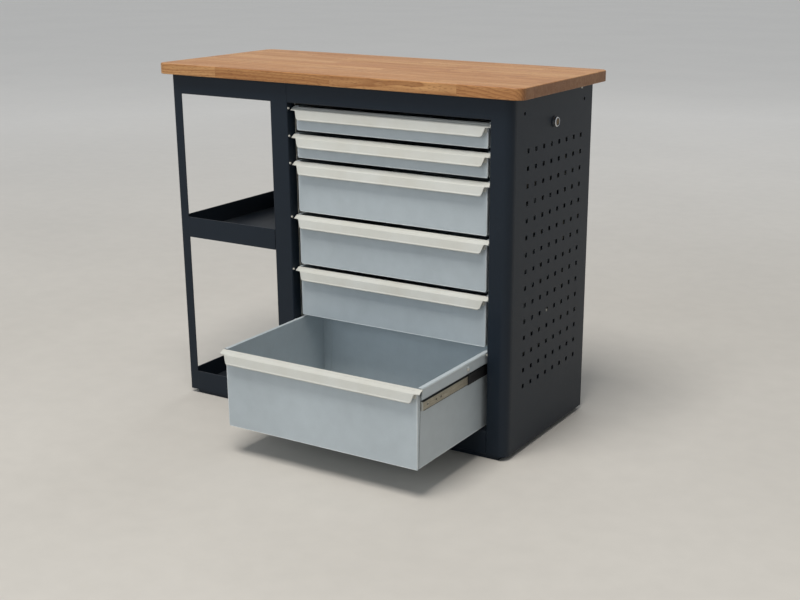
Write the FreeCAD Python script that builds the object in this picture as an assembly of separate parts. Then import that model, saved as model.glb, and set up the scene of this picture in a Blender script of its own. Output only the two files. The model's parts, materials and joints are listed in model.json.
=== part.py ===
import FreeCAD, Part
import math
import os

# Workshop bench: a beech worktop on a sheet-steel carcass, with an open bay and two lipped trays on the
# left and a cabinet with six drawers on the right.
# Frame: +X to the right as seen from the front, +Y to the back, +Z up, in millimetres.
# Origin: on the floor, under the middle of the carcass.

os.makedirs("parts", exist_ok=True)
Vector = FreeCAD.Vector

# ---- carcass ----
carcass_width = 915.0
carcass_depth = 405.0
carcass_top = 808.0
plinth_height = 10.0
plinth_end_inset = 20.0
plinth_face_inset = 5.0
plinth_fold = 40.0
steel = 1.5                      # sheet of posts, rails, panels and plinth
seam = 0.3                       # between the two front frames, beside the centre post
side_seam = 0.8                  # between the right front post and the side panel
cut_margin = 2.0                 # how far a cutter runs past the sheet it cuts

# ---- worktop ----
worktop_thickness = 25.0
worktop_end_overhang = 31.0
worktop_face_overhang = 17.5
worktop_corner_radius = 22.0
worktop_top_round = 2.5
worktop_bottom_round = 1.5

# ---- posts and rails ----
left_post_width = 25.0
bay_opening_width = 265.0
centre_post_width = 48.0
right_post_width = 50.0
right_corner_radius = 20.0
post_return = 30.0               # how far a post's edge folds back into the carcass
bend_radius = 2.5
top_rail_height = 46.0
bottom_rail_height = 56.0
rail_return = 20.0
floor_overlap = 10.0             # the cabinet floor lies this far on the bottom rail's fold

# ---- trays ----
tray_lip_height = 50.0
tray_sheet = 2.0
tray_floor_rise = 5.0            # underside of the floor above the lip's lower edge
middle_tray_height = 412.0       # lower edge of the middle tray's lip
tray_gap = 0.2                   # seating gap between a tray and the partition

# ---- right side panel ----
hole_pitch = 38.0
hole_side = 10.0
hole_columns = 8
hole_rows = 15
first_hole_from_front = 80.0
first_row_below_top = 117.0      # below the carcass's top
accessory_hole_radius = 4.0
accessory_hole_spacing = 299.0
accessory_holes_from_front = 209.5   # middle of the pair
accessory_holes_below_top = 36.0
rear_fold_width = 50.0           # the panel's fold round the rear corner
panel_edge_fold = 12.0           # short folds at the panel's top and bottom edges

# ---- drawers, from the top down ----
drawer_unit = 63.0
drawer_units = [1, 1, 2, 2, 2, 3]
drawer_gap = 6.0                 # between a front's lower edge and the drawer below it
front_recess = 17.0              # closed drawer front behind the posts' faces
open_drawer_pull = 288.0         # the lowest drawer stands this far open
drawer_sheet = 1.2
slide_space = 14.0               # between the drawer's side and the opening's edge
box_rear_gap = 16.0              # between a closed drawer's rear wall and the carcass's rear face
rim_reach = 8.5                  # how far the folded rim stands out over the slide
rim_drop = 25.0                  # height of the rim's outer band
rim_below_top = 2.0
front_return = 6.0               # folded edges of a drawer front
cheek_sheet = 0.8                # wedge-shaped cheeks on the front's two side folds
cheek_top_depth = 12.5           # from the front's face
cheek_bottom_depth = 3.5
front_edge_radius = 2.0
corner_notch = 4.0               # relief at the lower corners of a drawer front
corner_strip_width = 21.0        # folded strips in the rear corners of a drawer
strip_slot_height = 7.0
strip_slot_width = 2.5
strip_slot_spacing = 6.0

# ---- grip strips ----
grip_side_gap = 3.5              # between a grip's end and the post
grip_sheet = 2.0
grip_behind = 6.0                # how far the top flange reaches behind the drawer's face
grip_flange_reach = 10.0
grip_flange_drop = 9.2
grip_lip_reach = 14.5
grip_lip_drop = 29.6
grip_round = 3.0
grip_leg_drop = 22.0
grip_step_drop = 7.3             # below this the grip's ends are cut back
grip_lip_inset = 12.0            # lip shorter than the flange at each end, at its top
grip_lip_taper = 7.0             # and further in by this much at its lower edge
grip_cover = 6.5                 # the front's top edge lies this far under the grip's top

# ---- ball slides ----
slide_length = 355.0
slide_from_face = 13.5
slide_below_top = 44.0           # middle of the slide below the drawer's top
rail_sheet = 1.5
drawer_rail_height = 20.0
drawer_rail_reach = 6.2          # face of the drawer's rail, out from the drawer's side
cabinet_rail_reach = 13.0
cabinet_rail_gap = 1.0           # between the cabinet rail's edges and the drawer's side
cage_sheet = 1.0
cage_play = 0.4                  # between the ball cage and the rails inside and outside it
cage_lip_gap = 2.5               # between the cage's edges and the drawer's side
cage_length = 290.0
cage_setback = 56.0              # its front end behind the drawer's face, closed
rail_hole_radius = 2.3
rail_hole_places = [18.0, 52.0, 72.0]
upright_width = 30.0
upright_sheet = 2.0

# ---- stop buffers ----
buffer_radius = 2.5
buffer_reach = 2.8
buffer_from_front = 4.5
buffer_below_top = 7.0

# ---- lock ----
lock_from_front = 202.5
lock_below_top = 69.5            # below the carcass's top
lock_barrel_radius = 9.0         # of the stem through the panel
lock_head_radius = 11.0
lock_head_reach = 9.0            # how far the head stands out of the panel
lock_head_bevel = 1.0
lock_ring_radius = 8.5           # of the groove round the plug, in the head's face
lock_ring_depth = 0.8
lock_inside_length = 15.0
lock_plug_radius = 6.25
lock_play = 0.05
key_slot_width = 1.6
key_slot_height = 7.0
key_slot_depth = 6.0
lock_nut_radius = 13.0
lock_nut_thickness = 5.0
cam_gap = 1.0
cam_thickness = 2.0
cam_radius = 9.0
bar_travel = 9.0
crank_pin_radius = 2.0
crank_play = 0.4
bar_thickness = 3.0
bar_width = 20.0
bar_ends = 20.0                  # the bar runs on past its outer hooks by this much
bar_behind_cam = 2.5
hook_height = 6.0
hook_depth = 6.0
hook_below_top = 14.0
hook_clearance = 1.2             # hook tip outside the drawer's rim
catch_reach = 3.5
catch_depth = 6.0
catch_gap = 1.0
guide_height = 12.0
guide_wall = 4.0
guide_play = 0.3

# ---- fastenings ----
wood_screw_radius = 2.25
wood_screw_length = 18.0
wood_screw_from_face = 12.0
screw_head_radius = 4.5
screw_head_height = 2.6
screw_recess_radius = 1.25
back_screw_radius = 2.0
back_screw_head_radius = 4.0
back_screw_head_height = 2.0
back_screw_length = 8.0
back_screw_rows = 4
back_screw_edge = 10.0
back_screw_end = 45.0
back_overlap = 20.0
side_screw_from_front = 342.0
side_screw_below_top = 8.0       # below the carcass's top
side_screw_radius = 2.0
side_screw_head_radius = 4.0
side_screw_head_height = 2.2
side_screw_length = 8.0

# ---- places worked out from the sizes above ----
left = -carcass_width / 2
right = carcass_width / 2
front = -carcass_depth / 2
back = carcass_depth / 2
bottom = plinth_height
bay_left = left + left_post_width
bay_right = bay_left + bay_opening_width
opening_left = bay_right + centre_post_width
opening_right = right - right_post_width
opening_middle = (opening_left + opening_right) / 2
opening_half = (opening_right - opening_left) / 2
opening_top = carcass_top - top_rail_height
box_half = opening_half - slide_space
drawer_face = front + front_recess
drawer_rear = back - box_rear_gap
lock_height = carcass_top - lock_below_top
cage_height = drawer_rail_height + 2 * (cage_play + cage_sheet)
cabinet_rail_height = cage_height + 2 * (cage_play + rail_sheet)
partition_left = bay_right
partition_right = bay_right + steel
panel_inside = right - steel


def block(x0, x1, y0, y1, z0, z1):
    return Part.makeBox(x1 - x0, y1 - y0, z1 - z0, Vector(x0, y0, z0))


def cylinder(radius, length, base, direction):
    return Part.makeCylinder(radius, length, base, direction)


def join(shapes):
    whole = shapes[0].fuse(shapes[1:]) if len(shapes) > 1 else shapes[0]
    return whole.removeSplitter()


def group(shapes):
    return Part.makeCompound(shapes)


def place(u, v, plane, offset):
    """A point of a profile: (y, z) in plane X, (x, z) in plane Y, (x, y) in plane Z."""
    if plane == "X":
        return Vector(offset, u, v)
    if plane == "Y":
        return Vector(u, offset, v)
    return Vector(u, v, offset)


def run_out(plane, length):
    return {"X": Vector(length, 0, 0), "Y": Vector(0, length, 0), "Z": Vector(0, 0, length)}[plane]


def prism(points, plane, start, length):
    """A closed outline, pushed out along the plane's own axis."""
    corners = [place(u, v, plane, start) for u, v in points]
    wire = Part.makePolygon(corners + corners[:1])
    return Part.Face(wire).extrude(run_out(plane, length))


def folded(points, radii, sheet, plane, start, length):
    """A sheet folded along a line of points, its thickness on the left of the line.

    radii holds the outer bend radius at each inner point.
    """
    count = len(points)
    steps = []
    for (u0, v0), (u1, v1) in zip(points, points[1:]):
        size = math.hypot(u1 - u0, v1 - v0)
        steps.append(((u1 - u0) / size, (v1 - v0) / size))
    near, far = [], []           # edges on the line, and a sheet's thickness away from it
    near_at = points[0]
    far_at = (points[0][0] - steps[0][1] * sheet, points[0][1] + steps[0][0] * sheet)
    first_near, first_far = near_at, far_at
    for index in range(1, count - 1):
        corner, before, after = points[index], steps[index - 1], steps[index]
        cross = before[0] * after[1] - before[1] * after[0]
        turn = math.atan2(cross, before[0] * after[0] + before[1] * after[1])
        side = 1.0 if turn > 0 else -1.0
        radius = max(radii[index - 1], 0.01)
        reach = radius * math.tan(abs(turn) / 2)
        enter = (corner[0] - before[0] * reach, corner[1] - before[1] * reach)
        leave = (corner[0] + after[0] * reach, corner[1] + after[1] * reach)
        centre = (enter[0] - before[1] * radius * side, enter[1] + before[0] * radius * side)
        near.append((near_at, enter))
        near.append(arc_points(enter, leave, centre, radius))
        near_at = leave
        far_radius = radius - sheet * side
        if far_radius > 0.05:
            far_enter = (enter[0] - before[1] * sheet, enter[1] + before[0] * sheet)
            far_leave = (leave[0] - after[1] * sheet, leave[1] + after[0] * sheet)
            far.append((far_at, far_enter))
            far.append(arc_points(far_enter, far_leave, centre, far_radius))
            far_at = far_leave
        else:
            back_off = sheet * math.tan(abs(turn) / 2)
            mitre = (corner[0] - before[1] * sheet - before[0] * back_off,
                     corner[1] + before[0] * sheet - before[1] * back_off)
            far.append((far_at, mitre))
            far_at = mitre
    last_near = points[-1]
    last_far = (last_near[0] - steps[-1][1] * sheet, last_near[1] + steps[-1][0] * sheet)
    near.append((near_at, last_near))
    far.append((far_at, last_far))
    outline = near + [(last_near, last_far)] + far + [(first_near, first_far)]
    edges = []
    for piece in outline:
        spots = [place(u, v, plane, start) for u, v in piece]
        if len(spots) == 3:
            edges.append(Part.Arc(*spots).toShape())
        elif (spots[0] - spots[1]).Length > 1e-6:
            edges.append(Part.LineSegment(*spots).toShape())
    wire = Part.Wire(Part.__sortEdges__(edges))
    return Part.Face(wire).extrude(run_out(plane, length))


def arc_points(enter, leave, centre, radius):
    middle = ((enter[0] + leave[0]) / 2 - centre[0], (enter[1] + leave[1]) / 2 - centre[1])
    size = math.hypot(*middle)
    return (enter, (centre[0] + middle[0] / size * radius, centre[1] + middle[1] / size * radius), leave)


def mirrored(shape):
    """The same piece on the other side of the drawer opening."""
    return shape.mirror(Vector(opening_middle, 0, 0), Vector(1, 0, 0))


def save(node, shape):
    shape.exportStep("parts/" + node + ".step")


# ---- worktop ----

def worktop():
    slab = block(left - worktop_end_overhang, right + worktop_end_overhang,
                 front - worktop_face_overhang, back + worktop_face_overhang,
                 carcass_top, carcass_top + worktop_thickness)
    upright = [e for e in slab.Edges if abs(e.tangentAt(e.FirstParameter).z) > 0.9]
    slab = slab.makeFillet(worktop_corner_radius, upright)
    above = [e for e in slab.Edges if e.BoundBox.ZMin > carcass_top + worktop_thickness / 2]
    slab = slab.makeFillet(worktop_top_round, above)
    below = [e for e in slab.Edges if e.BoundBox.ZMax < carcass_top + worktop_thickness / 2]
    return slab.makeFillet(worktop_bottom_round, below)


# ---- posts ----

def post_height():
    return carcass_top - bottom


def front_left_post():
    """An angle of the bay's front frame: one leg across the front, one along the open left side."""
    line = [(left, front + left_post_width), (left, front), (bay_left, front)]
    return folded(line, [bend_radius], steel, "Z", bottom, post_height())


def rear_left_post():
    line = [(bay_left, back), (left, back), (left, back - left_post_width)]
    return folded(line, [bend_radius], steel, "Z", bottom, post_height())


def centre_post():
    line = [(bay_right, front + post_return), (bay_right, front),
            (opening_left, front), (opening_left, front + post_return)]
    return folded(line, [bend_radius, bend_radius], steel, "Z", bottom, post_height())


def rear_centre_post():
    line = [(opening_left, back), (bay_right, back), (bay_right, back - post_return)]
    return folded(line, [bend_radius], steel, "Z", bottom, post_height())


def right_front_post():
    """Flat face, large rounded corner and a short side that meets the side panel."""
    line = [(opening_right, front + post_return), (opening_right, front),
            (right, front), (right, front + right_corner_radius + steel)]
    return folded(line, [bend_radius, right_corner_radius], steel, "Z", bottom, post_height())


# ---- panels ----

def panel_front_edge():
    return front + right_corner_radius + steel + side_seam


def panel_rear_edge():
    return right - rear_fold_width


def right_side_panel():
    """Perforated sheet, folded round the rear corner and turned in along its top and bottom edges."""
    line = [(right, panel_front_edge()), (right, back), (panel_rear_edge(), back)]
    sheet = folded(line, [bend_radius], steel, "Z", bottom, post_height())
    side_end = back - bend_radius - steel
    folds = [block(right - panel_edge_fold, right - steel, panel_front_edge(), side_end, z, z + steel)
             for z in (bottom, carcass_top - steel)]
    panel = join([sheet] + folds)
    cutters = []
    inside, outside = panel_inside - cut_margin, right + cut_margin
    for column in range(hole_columns):
        for row in range(hole_rows):
            y = front + first_hole_from_front + column * hole_pitch
            z = carcass_top - first_row_below_top - row * hole_pitch
            cutters.append(block(inside, outside, y - hole_side / 2, y + hole_side / 2,
                                 z - hole_side / 2, z + hole_side / 2))
    for end in (-1, 1):
        y = front + accessory_holes_from_front + end * accessory_hole_spacing / 2
        spot = Vector(inside, y, carcass_top - accessory_holes_below_top)
        cutters.append(cylinder(accessory_hole_radius, outside - inside, spot, Vector(1, 0, 0)))
    cutters.append(cylinder(lock_barrel_radius, outside - inside, lock_axis_point(inside), Vector(1, 0, 0)))
    cutters.append(cylinder(side_screw_radius, outside - inside, side_screw_point(inside), Vector(1, 0, 0)))
    return panel.cut(group(cutters))


def side_screw_point(x):
    return Vector(x, front + side_screw_from_front, carcass_top - side_screw_below_top)


def side_panel_screw():
    """A round-headed screw near the panel's upper rear corner."""
    head = cylinder(side_screw_head_radius, side_screw_head_height, side_screw_point(right), Vector(1, 0, 0))
    rim = [e for e in head.Edges if e.BoundBox.XMin > right + side_screw_head_height / 2]
    head = head.makeFillet(side_screw_head_height * 0.7, rim)
    shank = cylinder(side_screw_radius, side_screw_length, side_screw_point(right - side_screw_length),
                     Vector(1, 0, 0))
    recess = cylinder(screw_recess_radius, side_screw_head_height,
                      side_screw_point(right + side_screw_head_height / 2), Vector(1, 0, 0))
    return join([head, shank]).cut(recess)


def partition_wall():
    return block(partition_left, partition_right, front + post_return, back - post_return,
                 bottom, carcass_top)


def back_panel():
    wall = block(opening_left - back_overlap, opening_right + back_overlap,
                 back - 2 * steel, back - steel, bottom + steel, opening_top)
    holes = [cylinder(back_screw_radius, 3 * steel, Vector(x, back - 2.5 * steel, z), Vector(0, 1, 0))
             for x, z in back_screw_places()]
    return wall.cut(group(holes))


def back_screw_places():
    columns = (opening_left - back_screw_edge, opening_right + back_screw_edge)
    low, high = bottom + back_screw_end, opening_top - back_screw_end
    step = (high - low) / (back_screw_rows - 1)
    return [(x, low + row * step) for x in columns for row in range(back_screw_rows)]


def back_panel_screws():
    screws = []
    for x, z in back_screw_places():
        head = cylinder(back_screw_head_radius, back_screw_head_height, Vector(x, back, z), Vector(0, 1, 0))
        shank = cylinder(back_screw_radius, back_screw_length,
                         Vector(x, back - back_screw_length, z), Vector(0, 1, 0))
        recess = cylinder(back_screw_radius * 0.7, back_screw_head_height * 0.6,
                          Vector(x, back + back_screw_head_height * 0.4, z), Vector(0, 1, 0))
        screws.append(join([head, shank]).cut(recess))
    return screws


def with_back_screw_holes(shape):
    """Clearance through the rear folds for the back panel's screws."""
    holes = [cylinder(back_screw_radius, 3 * steel, Vector(x, back - 2 * steel, z), Vector(0, 1, 0))
             for x, z in back_screw_places()]
    return shape.cut(group(holes))


def cabinet_base():
    """The floor sheet under the drawers, and the front bottom rail folded up from it."""
    floor = block(partition_right, panel_inside, front + post_return, back - 2 * steel,
                  bottom + steel, bottom + 2 * steel)
    line = [(front + rail_return, bottom + bottom_rail_height), (front, bottom + bottom_rail_height),
            (front, bottom), (front + post_return + floor_overlap, bottom)]
    rail = folded(line, [bend_radius, bend_radius], steel, "X", opening_left, opening_right - opening_left)
    return join([floor, rail])


# ---- top rails ----

def rail_line(face, inward):
    """A rail's section: its face and the folds along its upper and lower edges."""
    reach = face + inward * rail_return
    return [(reach, carcass_top), (face, carcass_top), (face, opening_top), (reach, opening_top)]


def face_plate(x0, x1):
    """The flat sheet that a front frame's posts and top rail share, where they meet."""
    return block(x0, x1, front, front + steel, opening_top + bend_radius, carcass_top - bend_radius)


def bay_front_frame():
    """The left post, the centre post and the rail above the bay, as one folded sheet."""
    rail = folded(rail_line(front, 1), [bend_radius, bend_radius], steel, "X", bay_left, bay_opening_width)
    plate = face_plate(left + bend_radius, opening_left - bend_radius)
    return join([front_left_post(), centre_post(), rail, plate])


def bay_rear_rail():
    return folded(rail_line(back, -1)[::-1], [bend_radius, bend_radius], steel, "X", bay_left,
                  bay_opening_width)


def bay_left_rail():
    length = carcass_depth - 2 * left_post_width
    return folded(rail_line(left, 1), [bend_radius, bend_radius], steel, "Y",
                  front + left_post_width, length)


def cabinet_front_frame():
    """The right front post and the rail above the drawers, as one folded sheet."""
    start = opening_left + seam
    rail = folded(rail_line(front, 1), [bend_radius, bend_radius], steel, "X", start, opening_right - start)
    return join([right_front_post(), rail, face_plate(start, right - right_corner_radius)])


def cabinet_rear_rail():
    return folded(rail_line(back, -1)[::-1], [bend_radius, bend_radius], steel, "X", opening_left,
                  panel_rear_edge() - opening_left)


# ---- trays and plinth ----

def tray(lip_bottom):
    """A floor with raised lips on all four sides; the outer lips stop at the two left posts."""
    lip_top = lip_bottom + tray_lip_height
    floor_bottom = lip_bottom + tray_floor_rise
    inner_right = bay_right - tray_gap
    floor = block(left + tray_sheet, inner_right, front + tray_sheet, back - tray_sheet,
                  floor_bottom, floor_bottom + tray_sheet)
    lips = [
        block(bay_left, inner_right, front, front + tray_sheet, lip_bottom, lip_top),
        block(bay_left, inner_right, back - tray_sheet, back, lip_bottom, lip_top),
        block(left, left + tray_sheet, front + left_post_width, back - left_post_width, lip_bottom, lip_top),
        block(inner_right - tray_sheet, inner_right, front + post_return, back - post_return,
              floor_bottom, lip_top),
    ]
    return join([floor] + lips)


def plinth():
    """A shallow box with a flat underside and an inward fold round its top, under the carcass."""
    x0, x1 = left + plinth_end_inset, right - plinth_end_inset
    y0, y1 = front + plinth_face_inset, back - plinth_face_inset
    outside = block(x0, x1, y0, y1, 0, plinth_height)
    inside = block(x0 + steel, x1 - steel, y0 + steel, y1 - steel, steel, plinth_height - steel)
    mouth = block(x0 + plinth_fold, x1 - plinth_fold, y0 + plinth_fold, y1 - plinth_fold,
                  plinth_height / 2, plinth_height)
    return outside.cut(group([inside])).cut(mouth)


# ---- drawers ----

def drawer_slots():
    """Lower and upper limits of each drawer's slot, from the top down."""
    slots = []
    high = opening_top
    for units in drawer_units:
        low = high - units * drawer_unit
        slots.append((low, high))
        high = low
    return slots


def drawer_tops():
    return [high - drawer_gap for low, high in drawer_slots()]


def pulled(number):
    """How far a drawer stands open at rest."""
    return open_drawer_pull if number == len(drawer_units) else 0.0


def drawer_front(low, top):
    """A plate with folded edges and a cheek on each side, relieved at the lower corners."""
    x0, x1 = opening_middle - box_half, opening_middle + box_half
    high = top - grip_cover
    face_line = [(x0, drawer_face + front_return), (x0, drawer_face),
                 (x1, drawer_face), (x1, drawer_face + front_return)]
    shell = folded(face_line, [front_edge_radius] * 2, drawer_sheet, "Z", low, high - low)
    edges = []
    for z in (low, high - drawer_sheet):
        edges.append(block(x0 + drawer_sheet, x1 - drawer_sheet, drawer_face + drawer_sheet,
                           drawer_face + front_return, z, z + drawer_sheet))
    cheek_y = drawer_face + front_edge_radius
    cheek_low = low + corner_notch
    cheek_line = [(cheek_y, cheek_low), (cheek_y, high), (drawer_face + cheek_top_depth, high),
                  (drawer_face + cheek_bottom_depth, cheek_low)]
    cheek = prism(cheek_line, "X", x1, cheek_sheet)
    shell = join([shell, cheek, mirrored(cheek)] + edges)
    notches = []
    for x in (x0, x1 - drawer_sheet):
        notches.append(block(x, x + drawer_sheet, drawer_face + front_edge_radius,
                             drawer_face + front_return, low, low + corner_notch))
    return shell.cut(group(notches))


def drawer_box(low, top):
    """Floor, sides and rear in folded sheet, with rims that stand out over the slides."""
    x0, x1 = opening_middle - box_half, opening_middle + box_half
    y0, y1 = drawer_face + front_return, drawer_rear
    floor_z = low + drawer_sheet
    rim_top = top - rim_below_top
    outside = block(x0, x1, y0, y1, floor_z, rim_top)
    inside = block(x0 + drawer_sheet, x1 - drawer_sheet, y0, y1 - drawer_sheet,
                   floor_z + drawer_sheet, rim_top)
    pan = outside.cut(inside)
    tongue = block(x0 + drawer_sheet, x1 - drawer_sheet, drawer_face + drawer_sheet, y0,
                   floor_z, floor_z + drawer_sheet)
    rim_line = [(x1 - drawer_sheet, rim_top), (x1 + rim_reach, rim_top),
                (x1 + rim_reach, rim_top - rim_drop)]
    rim = folded(rim_line[::-1], [front_edge_radius], drawer_sheet, "Y", y0, y1 - y0)
    rear_rim = block(x0 - rim_reach, x1 + rim_reach, y1, y1 + rim_reach, rim_top - drawer_sheet, rim_top)
    rear_strips = []
    for inner in (x0 + drawer_sheet, x1 - drawer_sheet - corner_strip_width):
        strip = block(inner, inner + corner_strip_width, y1 - 2 * drawer_sheet, y1 - drawer_sheet,
                      floor_z + drawer_sheet, rim_top - drawer_sheet)
        rear_strips.append(strip)
    catch_y = catch_front()
    catch_z = top - hook_below_top
    catch = block(x1 + rim_reach - drawer_sheet, x1 + rim_reach + catch_reach, catch_y, catch_y + catch_depth,
                  catch_z - hook_height / 2, catch_z + hook_height / 2)
    box = join([pan, tongue, rim, mirrored(rim), rear_rim, catch] + rear_strips)
    return box.cut(group(strip_slots(rim_top)))


def strip_slots(rim_top):
    """Pairs of small upright slots through the rear corner strips and the rear wall."""
    y1 = drawer_rear
    z1 = rim_top - 2 * strip_slot_height
    first = opening_middle - box_half + drawer_sheet + strip_slot_spacing / 2
    slots = []
    for place_x in (first, first + strip_slot_spacing):
        slot = block(place_x, place_x + strip_slot_width, y1 - 3 * drawer_sheet, y1 + drawer_sheet,
                     z1 - strip_slot_height, z1)
        slots += [slot, mirrored(slot)]
    return slots


def grip(top):
    """The plastic grip: a sloping flange over the front's top edge, and a hanging lip."""
    face = drawer_face
    half = opening_half - grip_side_gap
    line = [(face + grip_behind, top - grip_cover), (face + grip_behind, top),
            (face - grip_flange_reach, top - grip_flange_drop),
            (face - grip_lip_reach, top - grip_lip_drop)]
    radii = [grip_round, grip_round]
    strip = folded(line, radii, grip_sheet, "X", opening_middle - half, 2 * half)
    leg_half = half - grip_lip_inset
    slope = grip_flange_drop / (grip_behind + grip_flange_reach)
    leg_top = top - slope * (grip_behind + grip_sheet / 2) - grip_sheet / 2
    leg = block(opening_middle - leg_half, opening_middle + leg_half, face - grip_sheet, face,
                top - grip_leg_drop, leg_top)
    strip = join([strip, leg])
    step_z = top - grip_step_drop
    upper = half - grip_lip_inset
    lower = upper - grip_lip_taper
    beyond = half + grip_lip_reach
    under = top - 2 * grip_lip_drop
    slope_end = top - grip_lip_drop
    outline = [(upper, step_z), (beyond, step_z), (beyond, under), (lower, under), (lower, slope_end)]
    cutters = []
    for side in (-1, 1):
        points = [(opening_middle + side * u, z) for u, z in outline]
        cutters.append(prism(points, "Y", face - 2 * grip_lip_reach, 2 * grip_lip_reach))
    return strip.cut(group(cutters))


# ---- ball slides ----

def slide_profile(top, inner, outer, height, sheet, start, length):
    """A channel on the right, web at outer and edges at inner, both out from the drawer's side."""
    side = opening_middle + box_half
    middle = top - slide_below_top
    low, high = middle - height / 2, middle + height / 2
    line = [(side + inner, low), (side + outer, low), (side + outer, high), (side + inner, high)]
    return folded(line, [sheet, sheet], sheet, "Y", start, length)


def drawer_rails(top):
    """Channels fixed to the drawer's sides by their edges, with a few holes in their faces."""
    start = drawer_face + slide_from_face
    rail = slide_profile(top, 0, drawer_rail_reach, drawer_rail_height, rail_sheet, start, slide_length)
    side = opening_middle + box_half
    holes = [cylinder(rail_hole_radius, 3 * rail_sheet,
                      Vector(side + drawer_rail_reach - 2 * rail_sheet, start + y, top - slide_below_top),
                      Vector(1, 0, 0))
             for y in rail_hole_places]
    rail = rail.cut(group(holes))
    return [rail, mirrored(rail)]


def cabinet_rails(tops):
    """The right-hand channels in which the cages of the drawers with these tops run."""
    return [slide_profile(top, cabinet_rail_gap, cabinet_rail_reach, cabinet_rail_height, rail_sheet,
                          drawer_face + slide_from_face, slide_length) for top in tops]


def ball_cages(top):
    """Thin channels that run between the two rails at half the drawer's speed."""
    outer = drawer_rail_reach + cage_play + cage_sheet
    cage = slide_profile(top, cage_lip_gap, outer, cage_height, cage_sheet, drawer_face + cage_setback,
                         cage_length)
    return [cage, mirrored(cage)]


def slide_uprights(wall):
    """Folded strips front and rear, from the cabinet's rails out to the wall beside them."""
    inner = opening_middle + box_half + cabinet_rail_reach
    front_edge = front + post_return
    rear_edge = back - post_return
    lines = [
        [(inner, front_edge + upright_width), (inner, front_edge), (wall, front_edge)],
        [(wall, rear_edge), (inner, rear_edge), (inner, rear_edge - upright_width)],
    ]
    low = bottom + 2 * steel
    return [folded(line, [bend_radius], upright_sheet, "Z", low, carcass_top - steel - low)
            for line in lines]


def stop_buffers():
    buffers = []
    for top in drawer_tops():
        button = cylinder(buffer_radius, buffer_reach,
                          Vector(opening_left, front + buffer_from_front, top - buffer_below_top),
                          Vector(1, 0, 0))
        tip = [e for e in button.Edges if e.BoundBox.XMin > opening_left + buffer_reach / 2]
        button = button.makeFillet(buffer_radius / 3, tip)
        buffers += [button, mirrored(button)]
    return buffers


# ---- lock ----

def lock_y():
    return front + lock_from_front


def lock_axis_point(x):
    return Vector(x, lock_y(), lock_height)


def lock_inner_end():
    return panel_inside - lock_inside_length


def lock_face():
    return right + lock_head_reach


def lock_housing():
    """A stem through the panel and a bevelled head outside it, with a groove round the plug."""
    axis = Vector(1, 0, 0)
    stem = cylinder(lock_barrel_radius, right - lock_inner_end(), lock_axis_point(lock_inner_end()), axis)
    head = cylinder(lock_head_radius, lock_head_reach, lock_axis_point(right), axis)
    outer_rim = [e for e in head.Edges if e.BoundBox.XMin > right + lock_head_reach / 2]
    head = head.makeChamfer(lock_head_bevel, outer_rim)
    bore = cylinder(lock_plug_radius + lock_play, 4 * lock_inside_length,
                    lock_axis_point(lock_inner_end() - lock_inside_length), axis)
    groove = cylinder(lock_ring_radius, 2 * lock_ring_depth, lock_axis_point(lock_face() - lock_ring_depth),
                      axis)
    return join([stem, head]).cut(group([bore])).cut(groove)


def lock_nut():
    corners = []
    for step in range(6):
        angle = math.radians(60 * step)
        corners.append((lock_y() + lock_nut_radius * math.cos(angle),
                        lock_height + lock_nut_radius * math.sin(angle)))
    nut = prism(corners, "X", panel_inside - lock_nut_thickness, lock_nut_thickness)
    hole = cylinder(lock_barrel_radius, 3 * lock_nut_thickness,
                    lock_axis_point(panel_inside - 2 * lock_nut_thickness), Vector(1, 0, 0))
    return nut.cut(hole)


def cam_face():
    """The side of the cam that looks at the lock's housing."""
    return lock_inner_end() - cam_gap


def lock_plug():
    start = cam_face()
    face = lock_face() - lock_ring_depth / 2
    plug = cylinder(lock_plug_radius, face - start, lock_axis_point(start), Vector(1, 0, 0))
    slot = block(face - key_slot_depth, face + lock_ring_depth,
                 lock_y() - key_slot_width / 2, lock_y() + key_slot_width / 2,
                 lock_height - key_slot_height / 2, lock_height + key_slot_height / 2)
    return plug.cut(slot)


def crank_arm():
    """Distance of the crank pin from the lock's axis: a quarter turn moves it by the bar's travel."""
    return bar_travel / math.sqrt(2)


def bar_back():
    return cam_face() - cam_thickness - bar_behind_cam


def lock_cam():
    """A disc on the plug's inner end, with a crank pin that drives the locking bar."""
    arm = crank_arm() / math.sqrt(2)
    disc = cylinder(cam_radius, cam_thickness, lock_axis_point(cam_face() - cam_thickness), Vector(1, 0, 0))
    pin_length = bar_behind_cam + bar_thickness + cam_thickness
    pin_end = cam_face() - pin_length - cam_thickness / 2
    pin = cylinder(crank_pin_radius, pin_length, Vector(pin_end, lock_y() - arm, lock_height + arm),
                   Vector(1, 0, 0))
    return join([disc, pin])


def catch_front():
    """Front face of the catches on the closed drawers' rims."""
    return hook_front() + hook_depth + catch_gap


def bar_front():
    return lock_y() - bar_width * 0.75


def hook_front():
    """The hooks stand along the bar's rear edge."""
    return bar_front() + bar_width - hook_depth


def hook_heights():
    """Middle of each hook, with the bar raised."""
    return [top - hook_below_top + bar_travel for top in drawer_tops()]


def locking_bar():
    """A flat bar with a hook for each drawer and a slot for the crank pin."""
    y0 = bar_front()
    outer = bar_back()
    heights = hook_heights()
    parts = [block(outer - bar_thickness, outer, y0, y0 + bar_width, min(heights) - bar_ends,
                   max(heights) + bar_ends)]
    tip = opening_middle + box_half + rim_reach + hook_clearance
    for z in heights:
        parts.append(block(tip, outer, hook_front(), hook_front() + hook_depth,
                           z - hook_height / 2, z + hook_height / 2))
    bar = join(parts)
    arm = crank_arm() / math.sqrt(2)
    reach = crank_pin_radius + crank_play
    slot = block(outer - 2 * bar_thickness, outer + bar_thickness, lock_y() - crank_arm() - reach,
                 lock_y() - arm + reach, lock_height + arm - reach, lock_height + arm + reach)
    return bar.cut(slot)


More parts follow.
